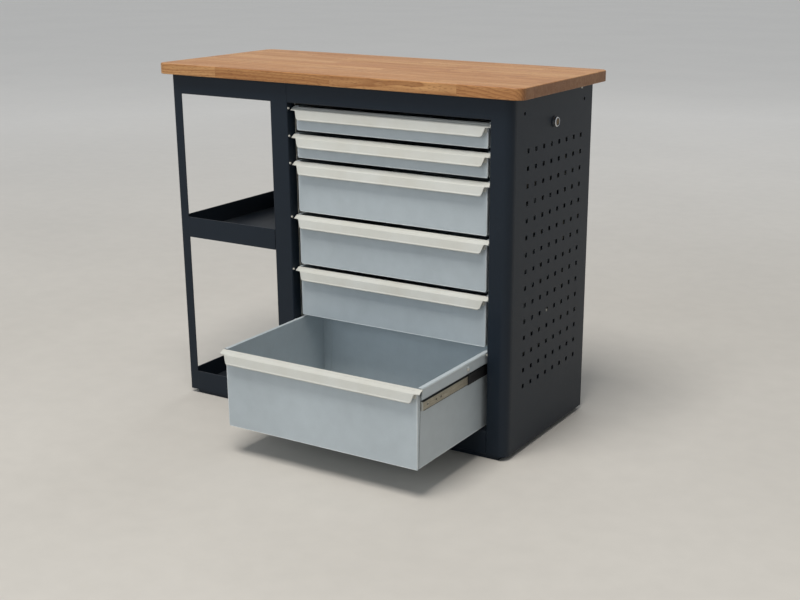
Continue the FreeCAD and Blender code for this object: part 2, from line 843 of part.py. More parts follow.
def bar_guides():
    """Two blocks with a passage for the bar, halfway between hooks."""
    guides = []
    outer = bar_back()
    heights = hook_heights()
    for upper, lower in zip(heights[2::2], heights[3::2]):
        z = (upper + lower - bar_travel) / 2
        y0, y1 = bar_front() - guide_wall, bar_front() + bar_width + guide_wall
        guide = block(outer - bar_thickness - guide_wall, panel_inside, y0, y1,
                      z - guide_height / 2, z + guide_height / 2)
        passage = block(outer - bar_thickness - guide_play, outer + guide_play,
                        bar_front() - guide_play, bar_front() + bar_width + guide_play,
                        z - guide_height, z + guide_height)
        guides.append(guide.cut(passage))
    return guides


# ---- worktop fastenings ----

def worktop_screw_places():
    """Where screws come up through the folds at the top of the rails and the side panel."""
    bay_middle = (bay_left + bay_right) / 2
    quarter = opening_half / 2
    near, far = front + wood_screw_from_face, back - wood_screw_from_face
    spots = [(left + wood_screw_from_face, 0.0)]
    for x in (bay_middle, opening_middle - quarter, opening_middle + quarter):
        spots += [(x, near), (x, far)]
    fold_middle = right - (steel + panel_edge_fold) / 2
    spots += [(fold_middle, -carcass_depth / 4), (fold_middle, carcass_depth / 4)]
    return spots


def screw_shanks():
    return [cylinder(wood_screw_radius, wood_screw_length, Vector(x, y, carcass_top - steel), Vector(0, 0, 1))
            for x, y in worktop_screw_places()]


def worktop_screws():
    screws = []
    base = carcass_top - steel - screw_head_height
    for (x, y), shank in zip(worktop_screw_places(), screw_shanks()):
        head = cylinder(screw_head_radius, screw_head_height, Vector(x, y, base), Vector(0, 0, 1))
        recess = cylinder(screw_recess_radius, screw_head_height / 2, Vector(x, y, base), Vector(0, 0, 1))
        screws.append(join([head, shank]).cut(recess))
    return screws


def drilled(shape):
    """A worktop, rail or panel with the holes that the worktop's screws fill."""
    return shape.cut(group(screw_shanks()))


# ---- the whole bench ----

save("worktop", drilled(worktop()))
save("bay_front_frame", drilled(bay_front_frame()))
save("cabinet_front_frame", drilled(cabinet_front_frame()))
save("rear_left_post", rear_left_post())
save("rear_centre_post", with_back_screw_holes(rear_centre_post()))
save("right_side_panel", with_back_screw_holes(drilled(right_side_panel())))
save("side_panel_screw", side_panel_screw())
save("partition_wall", partition_wall())
save("back_panel", back_panel())
save("back_panel_screws", group(back_panel_screws()))
save("cabinet_base", cabinet_base())
save("bay_rear_rail", drilled(bay_rear_rail()))
save("bay_left_rail", drilled(bay_left_rail()))
save("cabinet_rear_rail", drilled(cabinet_rear_rail()))
save("middle_tray", tray(middle_tray_height))
save("bottom_tray", tray(bottom))
save("plinth", plinth())
left_uprights = [mirrored(upright) for upright in slide_uprights(2 * opening_middle - partition_right)]
save("slide_uprights", group(slide_uprights(panel_inside) + left_uprights))
half_count = len(drawer_units) // 2
for level, tops in (("upper", drawer_tops()[:half_count]), ("lower", drawer_tops()[half_count:])):
    save(level + "_right_rails", group(cabinet_rails(tops)))
    save(level + "_left_rails", group([mirrored(rail) for rail in cabinet_rails(tops)]))
save("stop_buffers", group(stop_buffers()))
save("worktop_screws", group(worktop_screws()))
save("lock_housing", lock_housing())
save("lock_nut", lock_nut())
save("lock_plug", lock_plug())
save("lock_cam", lock_cam())
save("locking_bar", locking_bar())
save("locking_bar_guides", group(bar_guides()))

for number, ((low, high), top) in enumerate(zip(drawer_slots(), drawer_tops()), 1):
    name = "drawer_" + str(number)
    out = Vector(0, -pulled(number), 0)
    half_out = Vector(0, -pulled(number) / 2, 0)
    save(name + "_box", drawer_box(low, top).translated(out))
    save(name + "_front", drawer_front(low, top).translated(out))
    save(name + "_grip", grip(top).translated(out))
    save(name + "_rails", group(drawer_rails(top)).translated(out))
    save(name + "_ball_cages", group(ball_cages(top)).translated(half_out))

print("parts written:", len(os.listdir("parts")))
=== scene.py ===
# %% [markdown]
# # Dressing a workshop bench
# The bench is already built at its real size: a beech worktop on a sheet-steel carcass, an open bay with
# two trays, six drawers and a perforated side. Here it gets its finishes, the small pieces that a maker
# would notice, a floor, some light and a camera. The first cell loads the bench as a fixed frame, so every
# new piece can be placed from the sizes of the parts that are already there.

import json
import math

import bpy
import numpy as np
from mathutils import Matrix, Vector


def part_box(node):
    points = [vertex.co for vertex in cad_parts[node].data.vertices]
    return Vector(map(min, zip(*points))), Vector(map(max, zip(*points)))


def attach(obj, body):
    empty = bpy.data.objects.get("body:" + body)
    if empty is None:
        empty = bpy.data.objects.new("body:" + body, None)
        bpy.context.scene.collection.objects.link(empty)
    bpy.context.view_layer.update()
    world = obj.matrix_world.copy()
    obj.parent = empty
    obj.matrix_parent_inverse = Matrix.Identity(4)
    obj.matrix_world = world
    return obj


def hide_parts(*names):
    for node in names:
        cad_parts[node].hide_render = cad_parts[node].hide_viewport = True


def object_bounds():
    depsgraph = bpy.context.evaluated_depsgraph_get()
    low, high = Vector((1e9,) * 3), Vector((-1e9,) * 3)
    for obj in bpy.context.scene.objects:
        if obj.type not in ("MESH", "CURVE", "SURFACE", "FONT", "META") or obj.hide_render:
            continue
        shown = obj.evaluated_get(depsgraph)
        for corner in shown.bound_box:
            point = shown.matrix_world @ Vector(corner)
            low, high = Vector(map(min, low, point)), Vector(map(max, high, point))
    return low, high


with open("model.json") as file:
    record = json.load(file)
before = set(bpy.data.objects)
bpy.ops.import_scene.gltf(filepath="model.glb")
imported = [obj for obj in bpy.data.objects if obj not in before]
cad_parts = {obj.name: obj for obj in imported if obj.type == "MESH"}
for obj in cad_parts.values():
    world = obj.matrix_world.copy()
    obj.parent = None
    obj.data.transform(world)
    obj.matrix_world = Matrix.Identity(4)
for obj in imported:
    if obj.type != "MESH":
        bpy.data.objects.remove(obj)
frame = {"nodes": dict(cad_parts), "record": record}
cad_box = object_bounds()
MM = 0.001

# %% [markdown]
# ## Helpers for node trees
# A procedural material is a small graph. Written out socket by socket it is long and hard to read, so a few
# helpers carry the load: one puts a node and plugs its inputs, some do a sum, a blend or a cloud of noise,
# and one makes an empty node group with named sockets. Everything after this reads like a recipe.

# %% Put a node, do a sum, start a group
def plug(tree, socket, value):
    """Link an output to the socket, or store a plain value in it."""
    if isinstance(value, bpy.types.NodeSocket):
        tree.links.new(value, socket)
    else:
        socket.default_value = value


def put(tree, kind, inputs=None, **settings):
    """One shader node: settings are its own properties, inputs are its sockets by name or number."""
    node = tree.nodes.new("ShaderNode" + kind)
    for name, value in settings.items():
        setattr(node, name, value)
    for name, value in (inputs or {}).items():
        plug(tree, node.inputs[name], value)
    return node


def calc(tree, operation, *values):
    """The result of one Math node."""
    return put(tree, "Math", dict(enumerate(values)), operation=operation).outputs[0]


def vector_calc(tree, operation, *values):
    """The result of one Vector Math node: a number for a dot product or a length, else a vector."""
    outputs = put(tree, "VectorMath", dict(enumerate(values)), operation=operation).outputs
    return outputs["Value" if operation in ("DOT_PRODUCT", "LENGTH") else "Vector"]


def spread(tree, value, low, high, to_low=0.0, to_high=1.0):
    """Value moved from the range low..high to to_low..to_high, and held inside it."""
    node = put(tree, "MapRange", {"Value": value, "From Min": low, "From Max": high,
                                  "To Min": to_low, "To Max": to_high}, clamp=True)
    return node.outputs[0]


def blend(tree, factor, first, second, mode="MIX"):
    """Two colours mixed by factor: 0 gives the first."""
    node = put(tree, "Mix", {0: factor, 6: first, 7: second}, data_type="RGBA", blend_type=mode)
    return node.outputs[2]


def dimmed(tree, colour, level):
    """The colour times a level."""
    shade = put(tree, "CombineColor", {0: level, 1: level, 2: level}).outputs[0]
    return blend(tree, 1.0, colour, shade, mode="MULTIPLY")


def centred(tree, value, width):
    """A value from 0..1 moved to -width/2..width/2."""
    return calc(tree, "MULTIPLY", calc(tree, "SUBTRACT", value, 0.5), width)


def cloud(tree, place, scale, detail):
    """A cloud of noise from 0 to 1; three scales, one for each axis, stretch it."""
    if isinstance(scale, tuple):
        place = put(tree, "Mapping", {"Vector": place, "Scale": scale}).outputs[0]
        scale = 1.0
    return put(tree, "TexNoise", {"Vector": place, "Scale": scale, "Detail": detail}).outputs["Fac"]


def facing(tree, axis):
    """How far a face looks along an axis: 1 straight along it, 0 across it, -1 against it."""
    normal = put(tree, "NewGeometry").outputs["Normal"]
    return put(tree, "SeparateXYZ", {0: normal}).outputs[axis]


def start_group(name, takes, gives):
    """An empty node group. takes: (label, kind, default); gives: (label, kind)."""
    group = bpy.data.node_groups.new(name, "ShaderNodeTree")
    for label, kind, default in takes:
        socket = group.interface.new_socket(label, in_out="INPUT", socket_type="NodeSocket" + kind)
        if default is not None:
            socket.default_value = default
    for label, kind in gives:
        group.interface.new_socket(label, in_out="OUTPUT", socket_type="NodeSocket" + kind)
    entry = group.nodes.new("NodeGroupInput").outputs
    leave = group.nodes.new("NodeGroupOutput").inputs
    return group, entry, leave


def use(tree, group, **inputs):
    """A node group placed in a material; an underscore in a name stands for a space."""
    node = tree.nodes.new("ShaderNodeGroup")
    node.node_tree = group
    for name, value in inputs.items():
        plug(tree, node.inputs[name.replace("_", " ")], value)
    return node.outputs


def start_material(name):
    """A material with its shader; returns it with its tree, its shader and its object coordinates."""
    material = bpy.data.materials.new(name)
    material.use_nodes = True
    tree = material.node_tree
    shader = tree.nodes["Principled BSDF"]
    place = put(tree, "TexCoord").outputs["Object"]
    return material, tree, shader, place


def paint(red, green, blue):
    """A screen colour, 0 to 255, as the linear colour that shaders work in."""
    def linear(value):
        share = value / 255
        return share / 12.92 if share <= 0.04045 else ((share + 0.055) / 1.055) ** 2.4
    return (linear(red), linear(green), linear(blue), 1.0)


# %% [markdown]
# ## Effects that several finishes share
# Paint, plastic and metal on the bench all show the same few things: a tone that drifts slowly over a big
# panel, edges that are a little rounded and rubbed, dust that lies on what faces up, a fine texture under
# the gloss, and thin rub marks. Each is a node group, built once, with its amounts as inputs.

# %% Slow drift of tone
def drift_group():
    """Tone = 1 plus or minus Strength, following a cloud of the given Size in metres."""
    group, entry, leave = start_group("slow_drift", [("Place", "Vector", None), ("Size", "Float", 0.2),
                                                     ("Strength", "Float", 0.05)], [("Tone", "Float")])
    clouds = put(group, "TexNoise", {"Vector": entry["Place"],
                                     "Scale": calc(group, "DIVIDE", 1.0, entry["Size"]),
                                     "Detail": 3.0, "Roughness": 0.55})
    wave = spread(group, clouds.outputs["Fac"], 0.3, 0.7, -1.0, 1.0)
    swing = calc(group, "MULTIPLY", wave, entry["Strength"])
    plug(group, leave["Tone"], calc(group, "ADD", 1.0, swing))
    return group


drift = drift_group()
print("group:", drift.name)


# %% Rounded and rubbed edges
def edge_group():
    """Normal is rounded over Radius; Rub = its amount where that normal leans away from the flat face."""
    group, entry, leave = start_group("soft_edges", [("Place", "Vector", None), ("Radius", "Float", 0.0008),
                                                     ("Rub", "Float", 0.5)],
                                      [("Normal", "Vector"), ("Rub", "Float")])
    rounded = put(group, "Bevel", {"Radius": entry["Radius"]}, samples=4)
    flat = put(group, "NewGeometry").outputs["Normal"]
    edge = spread(group, vector_calc(group, "DOT_PRODUCT", rounded.outputs[0], flat), 0.995, 0.9)
    broken = spread(group, cloud(group, entry["Place"], 60.0, 4.0), 0.42, 0.62)
    rub = calc(group, "MULTIPLY", calc(group, "MULTIPLY", edge, broken), entry["Rub"])
    plug(group, leave["Normal"], rounded.outputs[0])
    plug(group, leave["Rub"], rub)
    return group


edges = edge_group()
print("group:", edges.name)


# %% Dust on what faces up
def dust_group():
    """Mask = Amount where the face looks up, broken by a fine and a broad cloud."""
    group, entry, leave = start_group("settled_dust", [("Place", "Vector", None), ("Amount", "Float", 0.3)],
                                      [("Mask", "Float")])
    upward = spread(group, facing(group, "Z"), 0.6, 0.98)
    broad = spread(group, cloud(group, entry["Place"], 9.0, 3.0), 0.35, 0.7)
    fine = spread(group, cloud(group, entry["Place"], 420.0, 2.0), 0.3, 0.75, 0.35, 1.0)
    mask = calc(group, "MULTIPLY", upward, calc(group, "MULTIPLY", broad, fine))
    plug(group, leave["Mask"], calc(group, "MULTIPLY", mask, entry["Amount"]))
    return group


dust = dust_group()
print("group:", dust.name)


# %% The fine skin of a baked coat
def skin_group():
    """Height is a shallow orange peel of the given Size with a finer grain on it; Speckle is that grain."""
    group, entry, leave = start_group("baked_skin", [("Place", "Vector", None), ("Size", "Float", 0.002)],
                                      [("Height", "Float"), ("Speckle", "Float")])
    scale = calc(group, "DIVIDE", 1.0, entry["Size"])
    peel = cloud(group, entry["Place"], scale, 1.5)
    fine = cloud(group, entry["Place"], calc(group, "MULTIPLY", scale, 3.7), 1.0)
    plug(group, leave["Height"], calc(group, "MULTIPLY_ADD", fine, 0.3, peel))
    plug(group, leave["Speckle"], spread(group, fine, 0.35, 0.65, -1.0, 1.0))
    return group


skin = skin_group()
print("group:", skin.name)


# %% Thin rub marks
def rub_group():
    """Mask = Amount on a few thin lines, cut from the borders of long stretched cells in two directions."""
    group, entry, leave = start_group("rub_marks", [("Place", "Vector", None), ("Amount", "Float", 0.3)],
                                      [("Mask", "Float")])
    masks = []
    for turn, stretch in ((0.35, (9.0, 60.0, 140.0)), (-0.6, (70.0, 11.0, 120.0))):
        slanted = put(group, "Mapping", {"Vector": entry["Place"], "Rotation": (turn, turn / 2, turn),
                                         "Scale": stretch}).outputs[0]
        cells = put(group, "TexVoronoi", {"Vector": slanted, "Scale": 1.0}, feature="DISTANCE_TO_EDGE")
        line = spread(group, cells.outputs["Distance"], 0.012, 0.0)
        gate = spread(group, cloud(group, entry["Place"], 14.0, 2.0), 0.55, 0.68)
        masks.append(calc(group, "MULTIPLY", line, gate))
    both = calc(group, "MAXIMUM", masks[0], masks[1])
    plug(group, leave["Mask"], calc(group, "MULTIPLY", both, entry["Amount"]))
    return group


rubs = rub_group()
print("group:", rubs.name)

# %% [markdown]
# ## Painted steel
# The carcass wears a dark, slightly textured powder coat, and the drawers a smooth light grey one. One
# recipe serves both: a base colour with slow drift, a speckle, rubbed edges, dust and a shallow skin as
# bump. The two differ only in colour, gloss and amounts. A third coat is for the drawers' folded edges: it
# is paler and shinier than the flat sheet, and its paler colour is a painted highlight where the folds catch
# the light.

# %% Recipe for a powder coat
dust_on_paint = paint(172, 168, 160)


def powder_coat(name, colour, rub_colour, roughness, peel_size, peel_depth, dust_amount, mark_amount, shine):
    """A baked coat: its colour, the colour where it is rubbed, its roughness, skin, dust, marks and shine."""
    material, tree, shader, place = start_material(name)
    tone = use(tree, drift, Place=place, Size=0.35, Strength=0.06)["Tone"]
    small = use(tree, drift, Place=place, Size=0.03, Strength=0.03)["Tone"]
    edge = use(tree, edges, Place=place, Radius=0.6 * MM, Rub=0.6)
    peel = use(tree, skin, Place=place, Size=peel_size)
    marks = use(tree, rubs, Place=place, Amount=mark_amount)["Mask"]
    lying = use(tree, dust, Place=place, Amount=dust_amount)["Mask"]
    level = calc(tree, "MULTIPLY", tone, small)
    level = calc(tree, "MULTIPLY_ADD", peel["Speckle"], 0.03, level)
    base = dimmed(tree, colour, level)
    base = blend(tree, calc(tree, "MAXIMUM", edge["Rub"], marks), base, rub_colour)
    base = blend(tree, lying, base, dust_on_paint)
    rough = calc(tree, "MULTIPLY_ADD", lying, 0.35, calc(tree, "MULTIPLY", roughness, small))
    bump = put(tree, "Bump", {"Strength": 0.6, "Distance": peel_depth, "Height": peel["Height"],
                              "Normal": edge["Normal"]})
    plug(tree, shader.inputs["Base Color"], base)
    plug(tree, shader.inputs["Roughness"], rough)
    plug(tree, shader.inputs["Normal"], bump.outputs[0])
    shader.inputs["Specular IOR Level"].default_value = shine
    return material


anthracite = powder_coat("anthracite_powder_coat", paint(24, 33, 43), paint(72, 78, 86), roughness=0.42,
                         peel_size=1.6 * MM, peel_depth=0.06 * MM, dust_amount=0.10, mark_amount=0.10,
                         shine=0.23)
light_grey = powder_coat("light_grey_powder_coat", paint(179, 188, 193), paint(218, 220, 219), roughness=0.38,
                         peel_size=2.6 * MM, peel_depth=0.03 * MM, dust_amount=0.06, mark_amount=0.10,
                         shine=0.45)
# The paler colour of this coat is a painted highlight on the folds, where they catch the light.
fold_highlight_coat = powder_coat("light_grey_fold_highlights", paint(216, 221, 223), paint(226, 227, 226), roughness=0.20,
                          peel_size=2.6 * MM, peel_depth=0.02 * MM, dust_amount=0.02, mark_amount=0.06,
                          shine=0.6)
print("coats:", anthracite.name, light_grey.name, fold_highlight_coat.name)

# %% [markdown]
# ## Oiled beech
# The worktop is glued from staves that run along its length. Each stave is made of shorter lengths, joined
# end to end with small wedge-shaped fingers. Two things make it look real: every length has a tone of its
# own, and the figure inside each length is the same wood seen in another cut, with long soft bands and the
# short dark flecks that beech always has.

# %% Staves and finger joints
stave_width = 41.0 * MM
stave_length = 0.323
joint_shift = 0.749              # moves all joints along x together
row_spread = 7.0                 # lengths by which a row of staves can be shifted
finger_pitch = 7.0 * MM
finger_length = 5.0 * MM
seam_share = 0.008               # half a seam's width, as a share of a stave's width
dice_seed = 3.0
grain_jump = (5.0, 3.0, 4.0)     # how far apart two lengths can lie in the cloud that gives their grain
pith_slope = 0.14                # the pith isn't quite parallel to the length
pith_aside = 110.0 * MM
pith_below = 50.0 * MM           # how deep under the top face the pith can lie


def stave_group():
    """Stave = floor of y over its width; length = floor of x, shifted by the stave, over its length.

    Two white noises then give a stave its shift, and a length its tone, its warmth and its pith's place.
    """
    group, entry, leave = start_group("beech_staves", [("Place", "Vector", None)],
                                      [("Tone", "Float"), ("Warmth", "Float"), ("Seam", "Float"),
                                       ("Grain Place", "Vector"), ("Pith Place", "Vector")])
    parts = put(group, "SeparateXYZ", {0: entry["Place"]}).outputs
    across = calc(group, "DIVIDE", parts["Y"], stave_width)
    row = calc(group, "FLOOR", across)
    shift = put(group, "TexWhiteNoise", {"W": row}, noise_dimensions="1D").outputs["Value"]
    zigzag = calc(group, "PINGPONG", parts["Y"], finger_pitch / 2)
    zigzag = calc(group, "MULTIPLY", zigzag, 2 * finger_length / finger_pitch)
    shifted = calc(group, "ADD", calc(group, "ADD", parts["X"], joint_shift), zigzag)
    along = calc(group, "DIVIDE", shifted, stave_length)
    along = calc(group, "ADD", along, calc(group, "MULTIPLY", shift, row_spread))
    cut = calc(group, "FLOOR", along)
    pair = put(group, "CombineXYZ", {0: row, 1: cut, 2: dice_seed}).outputs[0]
    dice = put(group, "TexWhiteNoise", {"Vector": pair}, noise_dimensions="3D").outputs["Color"]
    tone, warmth, slope = put(group, "SeparateColor", {0: dice}).outputs
    plug(group, leave["Tone"], tone)
    plug(group, leave["Warmth"], warmth)
    row_edge = calc(group, "PINGPONG", across, 0.5)
    cut_edge = calc(group, "MULTIPLY", calc(group, "PINGPONG", along, 0.5), stave_length / stave_width)
    plug(group, leave["Seam"], spread(group, calc(group, "MINIMUM", row_edge, cut_edge), seam_share, 0.0))
    jump = vector_calc(group, "MULTIPLY", dice, grain_jump)
    plug(group, leave["Grain Place"], vector_calc(group, "ADD", entry["Place"], jump))
    inside = centred(group, calc(group, "FRACT", along), stave_length)
    rise = calc(group, "MULTIPLY", inside, centred(group, slope, pith_slope))
    pith_y = calc(group, "ADD", centred(group, calc(group, "FRACT", across), stave_width), rise)
    pith_y = calc(group, "ADD", pith_y, centred(group, warmth, pith_aside))
    pith_z = calc(group, "ADD", calc(group, "SUBTRACT", parts["Z"], cad_box[1].z), rise)
    pith_z = calc(group, "ADD", pith_z, calc(group, "MULTIPLY", tone, pith_below))
    pith = put(group, "CombineXYZ", {0: parts["X"], 1: pith_y, 2: pith_z}).outputs[0]
    plug(group, leave["Pith Place"], pith)
    return group


staves = stave_group()
print("group:", staves.name, "with staves of", round(stave_width / MM), "mm")


# %% Bands, rings and flecks inside a length
ring_width = 5.0 * MM
ring_wander = 22.0 * MM
grain_push = (0.0, 12.0 * MM, 12.0 * MM)


def figure_group():
    """Bands: a cloud stretched about 37 times along x. Flecks: short dashes of a finer one. Pores: dots.

    Rings = the fraction of (distance from the pith + wander) over the ring width, so that a face that
    cuts the rings at a shallow angle shows arches.
    """
    group, entry, leave = start_group("beech_figure", [("Place", "Vector", None), ("Pith", "Vector", None)],
                                      [("Bands", "Float"), ("Flecks", "Float"), ("Pores", "Float"),
                                       ("Rings", "Float")])
    wander = put(group, "TexNoise", {"Vector": entry["Place"], "Scale": 5.0, "Detail": 2.0})
    push = vector_calc(group, "MULTIPLY", wander.outputs["Color"], grain_push)
    pushed = vector_calc(group, "ADD", entry["Place"], push)
    for label, scale, detail, low, high in (("Bands", (2.6, 95.0, 95.0), 4.0, 0.32, 0.68),
                                            ("Flecks", (90.0, 700.0, 700.0), 2.0, 0.56, 0.68),
                                            ("Pores", (420.0, 2600.0, 2600.0), 1.0, 0.55, 0.75)):
        plug(group, leave[label], spread(group, cloud(group, pushed, scale, detail), low, high))
    pith = put(group, "SeparateXYZ", {0: entry["Pith"]}).outputs
    flat = put(group, "CombineXYZ", {1: pith["Y"], 2: pith["Z"]}).outputs[0]
    drifted = cloud(group, entry["Place"], (3.0, 14.0, 14.0), 3.0)
    distance = calc(group, "MULTIPLY_ADD", drifted, ring_wander, vector_calc(group, "LENGTH", flat))
    ring = calc(group, "FRACT", calc(group, "DIVIDE", distance, ring_width))
    rise = spread(group, ring, 0.25, 0.9)
    fall = spread(group, ring, 0.9, 1.0, 1.0, 0.0)
    plug(group, leave["Rings"], calc(group, "MULTIPLY", calc(group, "POWER", rise, 1.6), fall))
    return group


figure = figure_group()
print("group:", figure.name)


# %% The worktop's material
light_tan, deep_tan, warm_tan = paint(210, 165, 112), paint(166, 117, 70), paint(192, 134, 84)
seam_brown, end_grain_and_shade_brown = paint(96, 60, 34), paint(108, 68, 42)
stains = (("Bands", 0.55, paint(138, 88, 46)), ("Rings", 0.72, paint(134, 84, 44)),
          ("Flecks", 0.60, paint(108, 64, 34)), ("Pores", 0.10, paint(120, 80, 50)))


def oiled_beech():
    """Stave tones over a warm tan, darker bands and flecks, and darker short sides: partly end grain, partly
    painted shade.
    """
    material, tree, shader, place = start_material("oiled_beech")
    stave = use(tree, staves, Place=place)
    wood = use(tree, figure, Place=stave["Grain Place"], Pith=stave["Pith Place"])
    edge = use(tree, edges, Place=place, Radius=0.8 * MM, Rub=0.3)
    base = blend(tree, spread(tree, stave["Tone"], 0.0, 1.0, 0.05, 0.85), light_tan, deep_tan)
    base = blend(tree, spread(tree, stave["Warmth"], 0.0, 1.0, 0.0, 0.35), base, warm_tan)
    for part, share, stain in stains:
        base = blend(tree, calc(tree, "MULTIPLY", wood[part], share), base, stain)
    base = blend(tree, calc(tree, "MULTIPLY", stave["Seam"], 0.5), base, seam_brown)
    # The short sides are darker, partly from end grain soaking up oil and partly as painted shade of sides
    # facing away from the light.
    ends = spread(tree, calc(tree, "ABSOLUTE", facing(tree, "X")), 0.7, 0.95, 0.0, 0.55)
    base = blend(tree, ends, base, end_grain_and_shade_brown)
    height = calc(tree, "MULTIPLY_ADD", wood["Bands"], 0.4, calc(tree, "MULTIPLY", wood["Flecks"], -0.6))
    bump = put(tree, "Bump", {"Strength": 0.35, "Distance": 0.08 * MM, "Height": height,
                              "Normal": edge["Normal"]})
    plug(tree, shader.inputs["Base Color"], base)
    plug(tree, shader.inputs["Roughness"], spread(tree, wood["Bands"], 0.0, 1.0, 0.40, 0.52))
    plug(tree, shader.inputs["Normal"], bump.outputs[0])
    shader.inputs["Specular IOR Level"].default_value = 0.4
    return material


beech = oiled_beech()
print("wood:", beech.name)

# %% [markdown]
# ## Metals and plastics
# The slides are zinc plated: a bright metal with streaks along the way it was rolled. On the rails it is
# darker and browner, a painted reflection of a brown floor, and darker still on the faces that look up or
# down, painted shade along their edges. The lock is chrome, almost a mirror, round a duller brass plug. The
# ball cages are blackened steel. The grips are cream moulded plastic, and the small buffers, guides, end
# stops and caps are pale polyamide.

# %% Zinc, chrome, blackened steel and brass
# Dark brown for the rails' faces that look up or down is painted shade along the slide's edges.
painted_edge_shade = paint(44, 40, 34)


def rolled_metal(name, colour, roughness, streak_scale, streaks, metallic=1.0):
    """A metal whose tone and roughness follow a cloud; a low scale along y draws it into streaks."""
    material, tree, shader, place = start_material(name)
    line = spread(tree, cloud(tree, place, streak_scale, 3.0), 0.3, 0.7)
    tone = use(tree, drift, Place=place, Size=0.02, Strength=0.10)["Tone"]
    edge = use(tree, edges, Place=place, Radius=0.3 * MM, Rub=0.4)
    darker = tuple(share * (1.0 - streaks) for share in colour[:3]) + (1.0,)
    base = blend(tree, line, colour, darker)
    bump = put(tree, "Bump", {"Strength": 0.2, "Distance": 0.02 * MM, "Height": line,
                              "Normal": edge["Normal"]})
    plug(tree, shader.inputs["Base Color"], dimmed(tree, base, tone))
    plug(tree, shader.inputs["Roughness"], spread(tree, line, 0.0, 1.0, roughness * 0.8, roughness * 1.25))
    plug(tree, shader.inputs["Normal"], bump.outputs[0])
    shader.inputs["Metallic"].default_value = metallic
    return material


def greased(material):
    """The same metal, darker on the faces that look up or down: painted shade along the slide's edges."""
    copy = material.copy()
    copy.name = material.name + "_shaded_edges"
    tree = copy.node_tree
    shader = tree.nodes["Principled BSDF"]
    clean = shader.inputs["Base Color"].links[0].from_socket
    # Darkening on the faces that look up or down is painted shade at the slide's edges.
    painted_shade_mask = spread(tree, calc(tree, "ABSOLUTE", facing(tree, "Z")), 0.35, 0.8, 0.0, 0.9)
    plug(tree, shader.inputs["Base Color"], blend(tree, painted_shade_mask, clean, painted_edge_shade))
    return copy


along_y = (900.0, 25.0, 900.0)
all_ways = (300.0, 300.0, 300.0)
zinc = rolled_metal("zinc_plated_steel", paint(190, 188, 180), 0.34, along_y, 0.25)
chrome = rolled_metal("chrome_plated", paint(212, 213, 214), 0.10, all_ways, 0.05)
blackened = rolled_metal("black_steel", paint(52, 52, 54), 0.45, (700.0, 30.0, 700.0), 0.35, metallic=0.7)
plug_brass = rolled_metal("lock_plug_brass", paint(118, 98, 70), 0.30, all_ways, 0.15)
# The rails' zinc is darker and browner than the other zinc, a painted reflection of a brown floor.
rail_zinc = greased(rolled_metal("rail_zinc", paint(168, 163, 148), 0.38, along_y, 0.3))
print("metals:", zinc.name, chrome.name, blackened.name, plug_brass.name, rail_zinc.name)


# %% Moulded plastics
dust_on_plastic = paint(180, 174, 164)
mark_on_plastic = paint(150, 146, 138)


def moulded_plastic(name, colour, shadow_colour, roughness):
    """A slightly cloudy plastic, from its colour to its shadow colour, with a fine spark-eroded grain."""
    material, tree, shader, place = start_material(name)
    tone = use(tree, drift, Place=place, Size=0.08, Strength=0.5)["Tone"]
    edge = use(tree, edges, Place=place, Radius=0.7 * MM, Rub=0.0)
    peel = use(tree, skin, Place=place, Size=0.9 * MM)
    marks = use(tree, rubs, Place=place, Amount=0.12)["Mask"]
    lying = use(tree, dust, Place=place, Amount=0.15)["Mask"]
    base = blend(tree, spread(tree, tone, 0.5, 1.5), colour, shadow_colour)
    base = blend(tree, marks, base, mark_on_plastic)
    base = blend(tree, lying, base, dust_on_plastic)
    bump = put(tree, "Bump", {"Strength": 0.4, "Distance": 0.03 * MM, "Height": peel["Height"],
                              "Normal": edge["Normal"]})
    plug(tree, shader.inputs["Base Color"], base)
    plug(tree, shader.inputs["Roughness"], spread(tree, tone, 0.5, 1.5, roughness, roughness + 0.08))
    plug(tree, shader.inputs["Normal"], bump.outputs[0])
    return material


cream = moulded_plastic("cream_plastic", paint(201, 202, 197), paint(194, 193, 185), 0.36)
polyamide = moulded_plastic("light_polyamide", paint(190, 189, 182), paint(178, 175, 165), 0.48)
print("plastics:", cream.name, polyamide.name)

# %% Dress every part of the frame
finishes = {"beech": beech, "anthracite_powder_coat": anthracite, "light_grey_powder_coat": light_grey,
            "cream_plastic": cream, "zinc_plated_steel": zinc, "chrome_plated": chrome,
            "black_steel": blackened, "light_polyamide": polyamide}
own_finish = {"lock_plug": plug_brass}
for subpart in frame["record"]["subparts"]:
    name = subpart["node"]
    node = frame["nodes"][name]
    if name.endswith("_rails"):
        own_finish[name] = rail_zinc
    if not node.material_slots:
        node.data.materials.append(None)
    for slot in node.material_slots:
        slot.material = own_finish.get(name, finishes[subpart["material_slot"]])

# %% [markdown]
# ## Surfaces from sections
# Every new piece is a grid of points worked out with numpy. A section is drawn as a line with rounded
# corners, the line gets a thickness, and the loop that comes out is run along the piece. One function turns
# any such grid into a mesh whose faces look outward. All of this works in millimetres, and places are read
# from the boxes of the bench's own parts.

# %% Boxes in millimetres, and the drawers' names
drawers = ["drawer_" + str(number) for number in range(1, 7)]


def box_mm(node):
    """The lowest and the highest corner of a part of the bench, in millimetres."""
    low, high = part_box(node)
    return low / MM, high / MM


print("drawers:", [round(box_mm(name + "_front")[1].z - box_mm(name + "_front")[0].z, 1) for name in drawers])

# %% From a grid of rings to a mesh
def rings(grid):
    """Quads between neighbouring rings of a grid (rings, points, 3); each ring is closed."""
    count, size = grid.shape[:2]
    ring, point = np.meshgrid(np.arange(count - 1), np.arange(size), indexing="ij")
    after = (point + 1) % size
    quads = np.stack([ring * size + point, ring * size + after,
                      (ring + 1) * size + after, (ring + 1) * size + point], axis=-1)
    return grid.reshape(-1, 3), quads.reshape(-1, 4)


